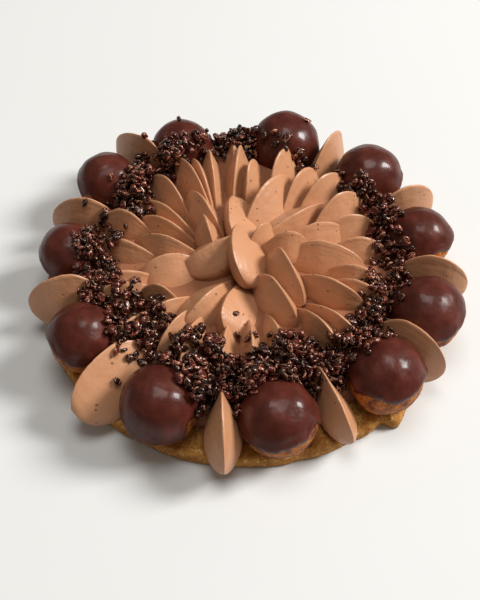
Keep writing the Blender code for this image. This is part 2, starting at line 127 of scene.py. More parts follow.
# Cacao nibs: sizes, of which widths and thicknesses are parts of the length
NIB_LENGTH = 5.8 * MM
NIB_SIZES = (0.7, 1.3)
NIB_WIDTHS = (0.5, 0.8)
NIB_THICKNESSES = (0.42, 0.62)
FLAKE_THICKNESSES = (0.2, 0.3)
FLAKE_STRETCH = 1.1
FLAKE_SHARE = 0.4

# Cacao nibs: how many fall on the ring, how they clump, and on which levels they may lie. Between
# the two azimuths of BACK_GAP they also fill the low place between two choux.
NIB_COUNT = 2100
NIB_SPREAD = 1.5
CLUMP_SIZE = 13.0
CLUMP_SHARE = 0.75
CLUMP_GAIN = 1.5
NIB_LOWEST = 18 * MM
NIB_HIGHEST = 46.5 * MM
BACK_GAP = (84, 106)

# Cacao nibs: how they roll, stride by stride, off ground steeper than one of two slopes
NIB_STICKING = 0.6
STICKING_SLOPE = 2.2
ROLLING_SLOPE = 0.8
NIB_STRIDE = 1.4 * MM
MOST_STRIDES = 12
NIB_WOBBLE = 0.5
TERRAIN_REACH = 0.118
TERRAIN_PITCH = 0.7 * MM

# The viewer, with angles in degrees, lens and sensor in millimetres, and half the floor's width
CAMERA_ELEVATION = 53.5
CAMERA_ROLL = 0.3
CAMERA_TARGET = (-2.5 * MM, -6.7 * MM, 0)
CAMERA_DISTANCE = 0.60
CAMERA_LENS = 58.5
CAMERA_SENSOR = 36
TABLE_HALF = 3.0


def rgb(red, green, blue):
    """A linear colour from 0 to 255 display values."""
    shares = [part / 255 for part in (red, green, blue)]
    linear = [s / 12.92 if s <= 0.04045 else ((s + 0.055) / 1.055) ** 2.4 for s in shares]
    return (*linear, 1.0)


# Colours as a screen shows them
CREAM_PALE = rgb(186, 136, 101)
CREAM_DEEP = rgb(176, 123, 88)
# Painted shade: the colour of the bed of cream between the petals, darker as if in their shade
CREAM_BED_SHADE = rgb(136, 84, 54)
# Painted shade: the dark colour inside the cream's air pits
CREAM_PIT_SHADE = rgb(80, 44, 26)
GLAZE_DARK = rgb(66, 26, 18)
GLAZE_RED = rgb(84, 38, 29)
GLAZE_SPECK = rgb(84, 42, 30)
CRUST_GOLD = rgb(194, 116, 42)
CRUST_BROWN = rgb(98, 44, 16)
DISC_GOLD = rgb(186, 132, 66)
DISC_BROWN = rgb(144, 90, 42)
DISC_PALE = rgb(220, 180, 108)
NIB_BLACK = rgb(27, 10, 9)
NIB_RED = rgb(82, 30, 24)
# Tan husk skin and painted highlight: the thin lighter lines on the nibs' rims
NIB_SKIN_AND_HIGHLIGHT = rgb(216, 148, 114)
NIB_GLINT = rgb(255, 228, 214)
FLOOR_PALE = rgb(209, 210, 210)
FLOOR_WARM = rgb(204, 205, 204)


@dataclass
class Puff:
    """One choux, in millimetres and degrees.

    The glaze reaches down to rim_angle from its pole, which tilt leans away from bare_side, and
    notch is the azimuth of a bare patch that bites into the glaze's rim.
    """

    azimuth: float
    distance: float
    radius: float
    rim_angle: float
    bare_side: float
    tilt: float
    notch: float | None = None


PUFFS = (
    Puff(113, 104, 18.5, 108, 200, 8),
    Puff(75, 104, 21.0, 112, 90, 6),
    Puff(42, 107, 20.0, 104, 0, 12),
    Puff(10.5, 108, 19.0, 88, -50, 16),
    Puff(-18.5, 111, 20.5, 94, -50, 15),
    Puff(-45, 110, 21.0, 86, -80, 16),
    Puff(-80, 107, 20.5, 96, -60, 11, notch=-28),
    Puff(-115, 107, 21.0, 112, -30, 11, notch=-36),
    Puff(-149.5, 106, 19.0, 96, -130, 13),
    Puff(176, 104, 18.0, 102, -150, 10),
    Puff(143, 109, 18.5, 96, 200, 16),
)


@dataclass
class Petal:
    """One piped petal, in millimetres and degrees.

    azimuth and reach place its nose, which faces outwards. turn swings the stroke away from the
    radius and lean slants its crest sideways, both anticlockwise seen from above. seat and rise are
    the height of the stroke's line at the nose and how much it climbs to the inner end. peak is
    where along the stroke the crest is highest. The smaller fullness is, the blunter are the ends,
    and bulge is how far the faces curve out between the crest and the widest level.
    """

    azimuth: float
    reach: float
    height: float
    turn: float = 0
    lean: float = 0
    width: float = 19
    length: float = 53
    seat: float = 10
    rise: float = 7
    peak: float = 0.37
    fullness: float = 0.85
    bulge: float = 1.2


def outer(azimuth, reach, height, **other):
    """A petal that stands between two choux."""
    shape = {"width": 18, "length": 57, "seat": 9.3, "rise": 0.6, "peak": 0.4}
    shape.update(other)
    return Petal(azimuth, reach, height, **shape)


def low(azimuth, reach, height, turn=0, **other):
    """A petal of the lowest inner ring."""
    return Petal(azimuth, reach, height, turn, **other)


def middle(azimuth, reach, height, turn=0, **other):
    """A petal of the middle ring, which climbs over the low ring."""
    shape = {"width": 20, "seat": 17, "rise": 6}
    shape.update(other)
    return Petal(azimuth, reach, height, turn, **shape)


def top(azimuth, reach, height, turn=0, **other):
    """A petal of the crown in the middle."""
    shape = {"width": 20, "length": 40, "seat": 25, "rise": 3}
    shape.update(other)
    return Petal(azimuth, reach, height, turn, **shape)


OUTER_PETALS = (
    outer(129, 134, 37, turn=17, lean=5, peak=0.48),
    outer(94, 112, 26),
    outer(59, 126, 36, fullness=1.0),
    outer(25, 132, 35, turn=-4),
    outer(-5, 133, 34.5, turn=-5, peak=0.42),
    outer(-33, 133, 38, lean=3, peak=0.48, fullness=1.0),
    outer(-62.5, 129, 31, turn=-1.5, lean=-6, width=18.5, length=50, peak=0.75, fullness=1.15),
    outer(-94.5, 135, 36.5, turn=7, lean=2, width=20.5, peak=0.52, fullness=1.4),
    outer(-131.5, 135.5, 30, turn=-9, lean=-26, length=70, width=22, peak=0.52, fullness=0.5),
    outer(-167.5, 129, 35.5, turn=-5, lean=-4, length=54, peak=0.5, fullness=0.95),
    outer(162, 126, 34, turn=12),
)

LOW_PETALS = (
    low(5, 89, 27.5, lean=8),
    low(19, 88, 28.5, -2, lean=8),
    low(32, 91, 32, 6, lean=10),
    low(44, 94, 32, -2, lean=10),
    low(55, 88, 32, 1, lean=12),
    low(67.5, 96, 34, -1.5, lean=12),
    low(81, 80, 34, -4, lean=10, length=44),
    low(91, 94, 35, -8, length=58),
    low(105, 93, 35, -7, length=58),
    low(113, 90, 33, -3, length=56),
    low(119, 94, 35, 0, length=64),
    low(132, 90, 33, -4),
    low(146, 82, 31, length=56),
    low(154, 75, 30, length=54),
    low(159, 94, 31, length=42),
    low(172, 96, 28, -6, length=56),
    low(-169, 94, 25.5, length=52),
    low(-163, 98, 25, -4, length=54),
    low(-160, 66, 29, -38, length=34, width=13),
    low(-144, 80, 24, -3),
    low(-141, 101, 28, 2, length=52),
    low(-127, 84, 28, 0),
    low(-113, 88, 30, 2, lean=-6, length=54),
    low(-99, 86, 29),
    low(-86, 84, 29),
    low(-72, 80, 28, length=50),
    low(-47, 84, 31, -3, lean=-8, length=47),
    low(-37.5, 89, 28, -1, lean=-8),
    low(-18, 86, 28, 2, length=48),
    low(-9, 84, 26, length=48),
)

MIDDLE_PETALS = (
    middle(19.5, 67, 23.5, -3.5, lean=8),
    middle(46.5, 70.5, 22.5, -9, lean=-20, length=72, width=23),
    middle(64, 71, 29, -8, lean=8, width=24, length=64),
    middle(125, 63, 28.5, -2),
    middle(168, 68, 26, -3, rise=3),
    middle(-168, 64, 25, -2, lean=-14, seat=14, rise=4, width=30),
    middle(-128, 62, 24.5, -2, lean=8, width=27),
    middle(-93, 57, 24, -7, lean=-24, width=26, length=48, peak=0.2, fullness=0.5),
    middle(-56.5, 55, 28.5, 5.5, lean=1, length=46, peak=0.5),
    middle(-44.5, 46.5, 28.5, -13, lean=6, seat=21, length=42, peak=0.6),
    middle(-22.5, 76, 26.5, -0.5, lean=-9, length=55),
    middle(-4, 72, 26, -3.5, lean=8, length=60, peak=0.45),
)

BLUNT = {"fullness": 0.5, "bulge": 1.7}

CROWN_PETALS = (
    top(92, 48.5, 19, 4, lean=29, width=19, length=58, seat=26, peak=0.5, **BLUNT),
    top(52, 27, 22, width=15, length=30),
    top(11, 39, 24, -7, length=34),
    top(135, 37, 25, -24, length=32, width=16),
    top(-170, 37, 19, 9, length=46, rise=9, seat=24, width=24, peak=0.62),
    top(-73, 25, 24, -11, lean=-28, width=21, length=58, seat=28, peak=0.3, **BLUNT),
)


class Value:
    """An output of a node that takes part in Python arithmetic and so adds Math nodes."""

    def __init__(self, recipe, socket):
        self.recipe = recipe
        self.socket = socket

    def out(self, name):
        """Another output of the same node."""
        return Value(self.recipe, named(self.socket.node.outputs, name))

    def __add__(self, other):
        return self.recipe.maths("ADD", self, other)

    def __sub__(self, other):
        return self.recipe.maths("SUBTRACT", self, other)

    def __rsub__(self, other):
        return self.recipe.maths("SUBTRACT", other, self)

    def __mul__(self, other):
        return self.recipe.maths("MULTIPLY", self, other)

    def __truediv__(self, other):
        return self.recipe.maths("DIVIDE", self, other)

    def __rtruediv__(self, other):
        return self.recipe.maths("DIVIDE", other, self)

    def __pow__(self, other):
        return self.recipe.maths("POWER", self, other)

    def sine(self):
        return self.recipe.maths("SINE", self)

    def cosine(self):
        return self.recipe.maths("COSINE", self)

    def root(self):
        return self.recipe.maths("SQRT", self)

    def size(self):
        """The value without its sign."""
        return self.recipe.maths("ABSOLUTE", self)

    def sign(self):
        return self.recipe.maths("SIGN", self)

    def least(self, other):
        """The smaller of the two."""
        return self.recipe.maths("MINIMUM", self, other)

    def most(self, other):
        """The larger of the two."""
        return self.recipe.maths("MAXIMUM", self, other)

    def clamped(self):
        """Kept between 0 and 1."""
        return self.most(0.0).least(1.0)

    def step(self, start, end):
        """0 before start, 1 after end, smooth between them."""
        settings = {"interpolation_type": "SMOOTHSTEP"}
        ends = {"Value": self, "From Min": start, "From Max": end}
        return self.recipe.node("ShaderNodeMapRange", settings, ends)


def named(sockets, name):
    """The socket in use that has a name, or a place in the list."""
    if isinstance(name, int):
        return sockets[name]
    return next(socket for socket in sockets if socket.name == name and socket.enabled)


class Recipe:
    """Adds nodes to one tree."""

    def __init__(self, tree):
        self.tree = tree
        self.tree.nodes.clear()

    def node(self, kind, settings=None, inputs=None, output=0):
        """Add a node: its settings first, then its sockets' values or links. Returns one output."""
        made = self.tree.nodes.new(kind)
        for name, setting in (settings or {}).items():
            setattr(made, name, setting)
        for name, given in (inputs or {}).items():
            socket = named(made.inputs, name)
            if isinstance(given, Value):
                self.tree.links.new(given.socket, socket)
            else:
                socket.default_value = given
        if not made.outputs:
            return None
        return Value(self, named(made.outputs, output))

    def maths(self, operation, *terms):
        return self.node("ShaderNodeMath", {"operation": operation}, dict(enumerate(terms)))

    def mix(self, first, second, share):
        """A colour between two colours."""
        settings = {"data_type": "RGBA"}
        parts = {"Factor": share, "A": first, "B": second}
        return self.node("ShaderNodeMix", settings, parts, output="Result")

    def vector(self, x, y, z):
        return self.node("ShaderNodeCombineXYZ", {}, {"X": x, "Y": y, "Z": z})


class Finish(Recipe):
    """A Principled material on Object coordinates."""

    def __init__(self, name, **constants):
        self.material = bpy.data.materials.new(name)
        self.material.use_nodes = True
        super().__init__(self.material.node_tree)
        self.shader = self.tree.nodes.new("ShaderNodeBsdfPrincipled")
        output = self.tree.nodes.new("ShaderNodeOutputMaterial")
        self.tree.links.new(self.shader.outputs["BSDF"], output.inputs["Surface"])
        for socket, number in constants.items():
            self.shader.inputs[socket.replace("_", " ")].default_value = number
        self.place = self.node("ShaderNodeTexCoord", output="Object")

    def cloud(self, size, detail=2.0, roughness=0.5, place=None):
        """Noise from 0 to 1 with features of about a size."""
        parts = {"Vector": place or self.place, "Scale": 1 / size}
        parts.update({"Detail": detail, "Roughness": roughness})
        return self.node("ShaderNodeTexNoise", {}, parts)

    def cells(self, size, feature="F1"):
        """Distance to the centre, or the edge, of cells of about a size."""
        parts = {"Vector": self.place, "Scale": 1 / size}
        return self.node("ShaderNodeTexVoronoi", {"feature": feature}, parts, output="Distance")

    def attribute(self, name):
        return self.node("ShaderNodeAttribute", {"attribute_name": name}, output="Fac")

    def parts_of(self, vector):
        """The three numbers of a vector."""
        x = self.node("ShaderNodeSeparateXYZ", {}, {"Vector": vector}, output="X")
        return x, x.out("Y"), x.out("Z")

    def bump(self, height, depth, under=None):
        """A bump of a depth in metres where height is 1."""
        parts = {"Height": height, "Distance": depth, "Strength": 1.0}
        if under is not None:
            parts["Normal"] = under
        return self.node("ShaderNodeBump", {}, parts)

    def feed(self, **values):
        """Link values to the shader's sockets."""
        for socket, value in values.items():
            self.tree.links.new(value.socket, self.shader.inputs[socket.replace("_", " ")])
        return self.material


def cream_finish():
    """Whipped ganache: satin, light brown, with air pits and faint lines along the stroke; the bed
    between the petals and the pits carry painted shade.
    """
    finish = Finish("whipped_chocolate_cream", Specular_IOR_Level=0.45)
    colour = finish.mix(CREAM_DEEP, CREAM_PALE, finish.cloud(26 * MM, detail=3.0))
    # Painted shade: where there is no petal, on the bed between them, the cream is coloured darker
    # as if shaded
    on_petal = finish.attribute("half_width").step(0.0, 1 * MM)
    colour = finish.mix(CREAM_BED_SHADE, colour, on_petal)
    centres = finish.cells(4.0 * MM)
    chance = finish.parts_of(centres.out("Color"))[0]
    width = (chance - 0.75 + finish.cloud(24 * MM) * 0.4).most(0.0025) * 0.45
    pits = 1 - (centres / width).step(0.55, 1.0)
    # Painted shade: the pits are coloured dark for the shade inside them; their dent is the bump
    # below
    colour = finish.mix(colour, CREAM_PIT_SHADE, pits * 0.5)
    across = finish.attribute("round") * 9.0
    grain = finish.vector(finish.attribute("stroke") * 1.5, across, finish.attribute("tone") * 40)
    lines = finish.cloud(0.6, detail=3.0, place=grain)
    relief = finish.bump(lines, 0.28 * MM)
    relief = finish.bump(finish.cloud(5 * MM, detail=2.5), 0.35 * MM, relief)
    relief = finish.bump(finish.cells(1.1 * MM), 0.03 * MM, relief)
    relief = finish.bump(1 - pits, 0.9 * MM, relief)
    gloss = finish.cloud(8 * MM) * 0.2 + 0.28 + (1 - on_petal) * 0.4
    return finish.feed(Base_Color=colour, Roughness=gloss, Normal=relief)


def glaze_finish():
    """Dark chocolate glaze: thin, softly shining, a little streaked."""
    finish = Finish("dark_chocolate_glaze", Specular_IOR_Level=0.11, Coat_Roughness=0.17)
    body = finish.cloud(9 * MM, detail=3.0)
    colour = finish.mix(GLAZE_DARK, GLAZE_RED, body.step(0.35, 0.75))
    specks = 1 - finish.cells(2.6 * MM).step(0.05, 0.11)
    colour = finish.mix(colour, GLAZE_SPECK, specks * 0.5)
    top = finish.parts_of(finish.place)[2].step(14 * MM, 34 * MM)
    gloss = finish.cloud(5 * MM, detail=4.0) * 0.24 + 0.28 + (1 - top) * 0.3
    relief = finish.bump(finish.cloud(5 * MM, detail=3.0), 0.5 * MM)
    relief = finish.bump(finish.cloud(0.7 * MM, detail=2.0), 0.02 * MM, relief)
    coat = (finish.cloud(12 * MM).step(0.35, 0.65) * 0.2 + 0.12) * top
    return finish.feed(Base_Color=colour, Roughness=gloss, Coat_Weight=coat, Normal=relief)


def crust_finish():
    """Baked choux crust: golden, browner in patches, finely wrinkled."""
    finish = Finish("baked_choux_crust", Specular_IOR_Level=0.25)
    patches = finish.cloud(7 * MM, detail=5.0, roughness=0.65)
    colour = finish.mix(CRUST_BROWN, CRUST_GOLD, patches.step(0.34, 0.62))
    cracks = finish.cells(2.4 * MM, feature="DISTANCE_TO_EDGE").step(0.0, 0.12)
    colour = finish.mix(CRUST_BROWN, colour, cracks * 0.6 + 0.4)
    relief = finish.bump(cracks, 0.12 * MM)
    relief = finish.bump(finish.cloud(1.2 * MM, detail=4.0), 0.25 * MM, relief)
    gloss = patches * 0.3 + 0.42
    return finish.feed(Base_Color=colour, Roughness=gloss, Normal=relief)


def disc_finish():
    """Baked pastry disc: golden crumb with small holes, deeper at the edge's foot."""
    finish = Finish("golden_pastry_crumb", Specular_IOR_Level=0.12)
    patches = finish.cloud(11 * MM, detail=5.0, roughness=0.6)
    colour = finish.mix(DISC_BROWN, DISC_GOLD, patches.step(0.32, 0.64))
    grains = finish.cells(1.0 * MM)
    flakes = finish.cloud(3 * MM, detail=5.0, roughness=0.7).step(0.5, 0.66)
    colour = finish.mix(colour, DISC_PALE, flakes * 0.6)
    holes = 1 - finish.cells(2.2 * MM).step(0.10, 0.24)
    colour = finish.mix(colour, DISC_BROWN, holes * 0.7)
    height = finish.parts_of(finish.place)[2]
    colour = finish.mix(DISC_BROWN, colour, height.step(0.0, 5 * MM) * 0.6 + 0.4)
    relief = finish.bump(1 - grains, 0.3 * MM)
    relief = finish.bump(1 - holes, 0.5 * MM, relief)
    relief = finish.bump(finish.cloud(2.5 * MM, detail=5.0), 0.9 * MM, relief)
    gloss = grains * 0.2 + 0.62
    return finish.feed(Base_Color=colour, Roughness=gloss, Normal=relief)


def nib_finish():
    """Roasted cacao nibs: near black to red brown, with a glassy skin and thin lighter lines of tan
    skin and painted highlight.
    """
    finish = Finish("roasted_cacao_nib", Specular_IOR_Level=0.6, Specular_Tint=NIB_GLINT)
    tone = finish.attribute("tone")
    colour = finish.mix(NIB_BLACK, NIB_RED, tone.step(0.3, 1.0) * 0.8)
    # Tan skin and painted highlight: thin lighter lines stand for the husk's paler skin and for its
    # rims catching the light
    skin_and_highlight_lines = 1 - (finish.cloud(3.4 * MM, detail=0.5) - 0.5).size().step(0.003, 0.022)
    colour = finish.mix(colour, NIB_SKIN_AND_HIGHLIGHT, skin_and_highlight_lines * (tone.step(0.0, 0.5) * 0.6 + 0.25))
    relief = finish.bump(finish.cloud(2.6 * MM, detail=1.0), 0.55 * MM)
    gloss = finish.cloud(1.0 * MM) * 0.2 + 0.12
    return finish.feed(Base_Color=colour, Roughness=gloss, Normal=relief)


def floor_finish():
    """Plain pale table top."""
    finish = Finish("pale_table", Specular_IOR_Level=0.2)
    colour = finish.mix(FLOOR_WARM, FLOOR_PALE, finish.cloud(0.25, detail=3.0))
    return finish.feed(Base_Color=colour, Roughness=finish.cloud(0.1) * 0.1 + 0.6)


class Shape(Recipe):
    """Adds nodes to a geometry tree with named inputs: points, whole numbers, sizes, material."""

    def __init__(self, name, counts, sizes):
        group = bpy.data.node_groups.new(name, "GeometryNodeTree")
        super().__init__(group)
        kinds = {"Geometry": ["Geometry"], "Int": counts, "Float": sizes, "Material": ["Material"]}
        self.sockets = {}
        for kind, labels in kinds.items():
            for label in labels:
                options = {"in_out": "INPUT", "socket_type": "NodeSocket" + kind}
                self.sockets[label] = group.interface.new_socket(label, **options).identifier
        group.interface.new_socket("Geometry", in_out="OUTPUT", socket_type="NodeSocketGeometry")
        self.entry = self.tree.nodes.new("NodeGroupInput")

    def given(self, name):
        """One of the tree's inputs."""
        return Value(self, self.entry.outputs[name])

    def attribute(self, name, kind="FLOAT"):
        """A value stored on the points."""
        settings = {"data_type": kind}
        return self.node("GeometryNodeInputNamedAttribute", settings, {"Name": name})

    def stored(self, geometry, name, value):
        """The geometry with a value stored on its points."""
        parts = {"Geometry": geometry, "Name": name, "Value": value}
        return self.node("GeometryNodeStoreNamedAttribute", {"data_type": "FLOAT"}, parts)

    def copies(self, original, **placing):
        """A real copy of a shape on each of the tree's points."""
        parts = {"Points": self.given("Geometry"), "Instance": original, **placing}
        instances = self.node("GeometryNodeInstanceOnPoints", {}, parts)
        return self.node("GeometryNodeRealizeInstances", {}, {"Geometry": instances})

    def waves(self, place):
        """Noise round zero at a place."""
        return self.node("ShaderNodeTexNoise", {}, {"Vector": place, "Scale": 1.0}) - 0.5

    def close(self, geometry):
        """Smooth the geometry, give it the tree's material and make it the result."""
        parts = {"Geometry": geometry, "Shade Smooth": True}
        smooth = self.node("GeometryNodeSetShadeSmooth", {}, parts)
        parts = {"Geometry": smooth, "Material": self.given("Material")}
        painted = self.node("GeometryNodeSetMaterial", {}, parts)
        exit_node = self.tree.nodes.new("NodeGroupOutput")
        self.tree.links.new(painted.socket, exit_node.inputs["Geometry"])

    def make(self, name, points, **inputs):
        """Run the tree on a mesh of points and keep the result as a plain piece."""
        thing = bpy.data.objects.new(name, points)
        bpy.context.scene.collection.objects.link(thing)
        modifier = thing.modifiers.new("made", "NODES")
        modifier.node_group = self.tree
        for label, value in inputs.items():
            modifier[self.sockets[label.replace("_", " ")]] = value
        bpy.context.view_layer.update()
        depsgraph = bpy.context.evaluated_depsgraph_get()
        mesh = bpy.data.meshes.new_from_object(thing.evaluated_get(depsgraph))
        mesh.name = name
        thing.modifiers.clear()
        thing.data = mesh
        return thing


def petal_tree():
    """Petals lofted from a grid: one for each point, whose stored values give its sizes."""
    sizes = ["Crest Radius", "Bead", "Waver", "Nicks", "Seed"]
    shape = Shape("piped petal", ["Stations", "Sides"], sizes)
    counts = {"Vertices X": shape.given("Stations"), "Vertices Y": shape.given("Sides")}
    grid = shape.node("GeometryNodeMeshGrid", {}, {"Size X": 1.0, "Size Y": 2.0, **counts})
    spot = shape.node("GeometryNodeInputPosition")
    flat = shape.node("ShaderNodeSeparateXYZ", {}, {"Vector": spot})
    grid = shape.stored(grid, "stroke", (flat + 0.5).clamped() ** 1.5)
    grid = shape.stored(grid, "round", flat.out("Y"))
    petals = shape.copies(grid)

    stroke = shape.attribute("stroke")
    around = shape.attribute("round")
    height = shape.attribute("height")
    peak = shape.attribute("peak")
    tone = shape.attribute("tone")
    before = (peak - stroke).most(0.0) / peak
    beyond = (stroke - peak).most(0.0) / (1 - peak)
    nose = (1 - before * before).most(0.0).root() * (1 - NOSE_LEVEL) + NOSE_LEVEL
    short = (NOSE_LENGTH - stroke).most(0.0) / NOSE_LENGTH
    under = (1 - (1 - short * short).most(0.0).root()) * NOSE_LEVEL
    line = stroke * shape.attribute("rise")

    wave = shape.waves(shape.vector(stroke * 4.0, tone * 50.0, shape.given("Seed")))
    nick = shape.waves(shape.vector(stroke * 26.0, tone * 90.0, shape.given("Seed")))
    crest = line + height * nose * (1 - beyond**CREST_FALL)
    crest = crest + wave * shape.given("Waver") + nick * shape.given("Nicks")
    keel = line + height * under
    roundness = (stroke**SPREAD_SKEW * math.pi).sine().most(0.0) ** shape.attribute("fullness")
    spread = shape.attribute("half_width") * roundness
    sunk = stroke.step(NOSE_LENGTH * 0.8, NOSE_LENGTH * 1.4)
    bottom = keel - (keel - shape.attribute("floor")).most(0.0) * sunk
    widest = keel + (crest - keel) * WIDEST_LEVEL

    from_crest = around.size()
    face = (from_crest / 0.5).clamped()
    belly = ((from_crest - 0.5) / 0.3).clamped()
    foot = ((from_crest - 0.8) / 0.2).clamped()
    fallen = face * face
    drop = (crest - widest) * fallen
    wedge = spread * (1 - (1 - fallen) ** shape.attribute("bulge"))
    rounded = shape.given("Crest Radius") * roundness * 2 * drop * (1 - fallen) ** 8
    bead = drop.step(0.0, 0.8 * MM) * (1 - drop.step(0.8 * MM, 2.6 * MM)) * roundness
    width = (wedge * wedge + rounded).root() + bead * shape.given("Bead")
    width = width * (1 - belly * belly * (1 - FOOT_WIDTH)) * (1 - foot)
    z = crest - drop - (widest - bottom) * belly
    level = (z - bottom) / (crest - bottom).most(0.1 * MM)
    swell = shape.waves(shape.vector(stroke * 3.0, around * 1.5, tone * 70.0 + 3.0))
    drift = shape.attribute("bow") * (stroke * math.pi).sine() * level
    y = around.sign() * width + shape.attribute("slope") * z + drift
    y = y + swell * shape.given("Waver") * roundness * 1.5
    x = stroke * shape.attribute("length") * -1.0

    heading = shape.attribute("heading")
    azimuth = shape.attribute("azimuth")
    reach = shape.attribute("reach")
    across = x * heading.cosine() - y * heading.sine() + reach * azimuth.cosine()
    ahead = x * heading.sine() + y * heading.cosine() + reach * azimuth.sine()
    place = shape.vector(across, ahead, z + shape.attribute("seat"))
    petals = shape.node("GeometryNodeSetPosition", {}, {"Geometry": petals, "Position": place})
    seam = {"Geometry": petals, "Distance": 0.002 * MM}
    shape.close(shape.node("GeometryNodeMergeByDistance", {}, seam))
    return shape


def point_mesh(name, places, values):
    """Points with stored values, a list of numbers for each name."""
    points = bpy.data.meshes.new(name)
    points.from_pydata(places, [], [])
    for label, numbers in values.items():
        if isinstance(numbers[0], float):
            points.attributes.new(label, "FLOAT", "POINT").data.foreach_set("value", numbers)
        else:
            flat = [part for vector in numbers for part in vector]
            points.attributes.new(label, "FLOAT_VECTOR", "POINT").data.foreach_set("vector", flat)
    return points


def petal_points(name, petals, seeds):
    """One point for each petal, with its sizes in metres and radians."""
    rows = []
    for petal, seed in zip(petals, seeds):
        row = {
            "azimuth": math.radians(petal.azimuth),
            "heading": math.radians(petal.azimuth + petal.turn),
            "half_width": petal.width * MM / 2,
            "slope": math.tan(math.radians(petal.lean)),
            "floor": DECK - petal.seat * MM,
            "bow": random.Random(seed).uniform(-LARGEST_BOW, LARGEST_BOW),
            "tone": random.Random(seed + 500).random(),
        }
        for size in ("reach", "height", "length", "seat", "rise"):
            row[size] = getattr(petal, size) * MM
        for share in ("peak", "fullness", "bulge"):
            row[share] = float(getattr(petal, share))
        rows.append(row)
    values = {label: [row[label] for row in rows] for label in rows[0]}
    return point_mesh(name, [(0, 0, 0)] * len(rows), values)


def dress(thing, slot, *nodes):
    """Let a finished piece stand for CAD nodes. The slot is not used."""
    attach(thing, "root")
    if nodes:
        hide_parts(*nodes)
    return thing


def surface(name, rings, top, bottom, finish):
    """A closed skin through rings of points that run from a top point to a bottom point."""
    columns = len(rings[0])
    places = [top]
    for ring in rings:
        places.extend(ring)
    places.append(bottom)
    last = len(places) - 1
    faces = []
    for column in range(columns):
        after = (column + 1) % columns
        faces.append((0, 1 + column, 1 + after))
        for row in range(len(rings) - 1):
            upper = 1 + row * columns
            lower = upper + columns
            faces.append((upper + column, lower + column, lower + after, upper + after))
        end = 1 + (len(rings) - 1) * columns
        faces.append((last, end + after, end + column))
    mesh = bpy.data.meshes.new(name)
    mesh.from_pydata(places, [], faces)
    mesh.materials.append(finish)
    mesh.shade_smooth()
    thing = bpy.data.objects.new(name, mesh)
    bpy.context.scene.collection.objects.link(thing)
    return thing


def polar(azimuth, distance, height=0.0):
    """A place from its azimuth in degrees, its distance from the axis and its height."""
    angle = math.radians(azimuth)
    return Vector((distance * math.cos(angle), distance * math.sin(angle), height))


def ruffle(place, size, octaves=3):
    """Noise from about -1 to 1 with features of about a size."""
    return noise.fractal(place / size, 0.6, 2.0, octaves)


def pastry_disc(finish):
    """The baked disc, with a crumbly edge and one tongue of crust."""
    profile = DISC_EDGE + [(offset, DISC_TOP) for offset in DISC_INNER]
    rings = []
    for offset, level in reversed(profile):
        ring = []
        for column in range(DISC_COLUMNS):
            azimuth = 360 * column / DISC_COLUMNS
            signed = azimuth if azimuth <= 180 else azimuth - 360
            wave = noise.noise(polar(azimuth, 3.0)) + 0.5 * noise.noise(polar(azimuth, 9.0, 4.0))
            away = signed - TONGUE_AZIMUTH
            away = away / TONGUE_RISE if away > 0 else -away / TONGUE_BREAK
            tongue = TONGUE_LENGTH * max(0.0, 1.0 - away)
            edge = DISC_RADIUS + DISC_UNEVENNESS * wave + tongue
            place = polar(azimuth, edge + offset * MM, level * MM)
            crumb = ruffle(place, FINE_CRUMB) * 0.35 * MM + ruffle(place, COARSE_CRUMB) * 0.3 * MM
            outwards = max(0.0, 1 + offset / 2.0)
            lift = 0.0 if level < 1 else crumb * (1 - 0.6 * outwards)
            place += polar(azimuth, crumb * min(1.0, level) * outwards) + Vector((0, 0, lift))
            ring.append(place)
        rings.append(ring)
    top_point = Vector((0, 0, DISC_TOP * MM))
    return surface("pastry_disc", rings, top_point, Vector((0, 0, 0)), finish)


def puff_tilt(puff):
    """The turn that leans a choux's glaze away from its bare side."""
    away_from_bare_side = polar(puff.bare_side + 180, 1.0)
    axis = Vector((0, 0, 1)).cross(away_from_bare_side)
    return Matrix.Rotation(math.radians(puff.tilt), 3, axis)


def puff_place(puff, number, direction, growth):
    """A point of the choux's skin in a direction from its middle, moved out by a growth."""
    lump = noise.noise(direction * PUFF_LUMP_SCALE + Vector((7.0 * number, 0, 0)))
    radius = puff.radius * MM * (1 + PUFF_UNEVENNESS * lump) + growth
    place = direction * radius
    if place.z < 0:
        place.z *= PUFF_LOWER_BULGE
    place.z = max(place.z, DECK - PUFF_CENTRE_HEIGHT)
    return place + polar(puff.azimuth, puff.distance * MM, PUFF_CENTRE_HEIGHT)


def heading_on_ball(polar_angle, azimuth, tilt):
    """A direction from its angle from the glaze's pole and its azimuth round it."""
    side = math.sin(polar_angle)
    up = math.cos(polar_angle)
    return tilt @ Vector((side * math.cos(azimuth), side * math.sin(azimuth), up))


def choux_crust(puff, number, finish):
    """The baked ball: smooth on top, wrinkled lower down."""
    tilt = puff_tilt(puff)
    rings = []
    for row in range(1, PUFF_ROWS):
        ring = []
        for column in range(PUFF_COLUMNS):
            direction = heading_on_ball(
                math.pi * row / PUFF_ROWS, math.tau * column / PUFF_COLUMNS, tilt
            )
            spot = direction * puff.radius * MM + Vector((number, 0, 0))
            wrinkle = ruffle(spot, 3.0 * MM, 4) * 0.28 * MM
            ring.append(puff_place(puff, number, direction, wrinkle))
        rings.append(ring)
    poles = [puff_place(puff, number, tilt @ Vector((0, 0, end)), 0.0) for end in (1, -1)]
    return surface(f"choux_{number:02d}", rings, *poles, finish)


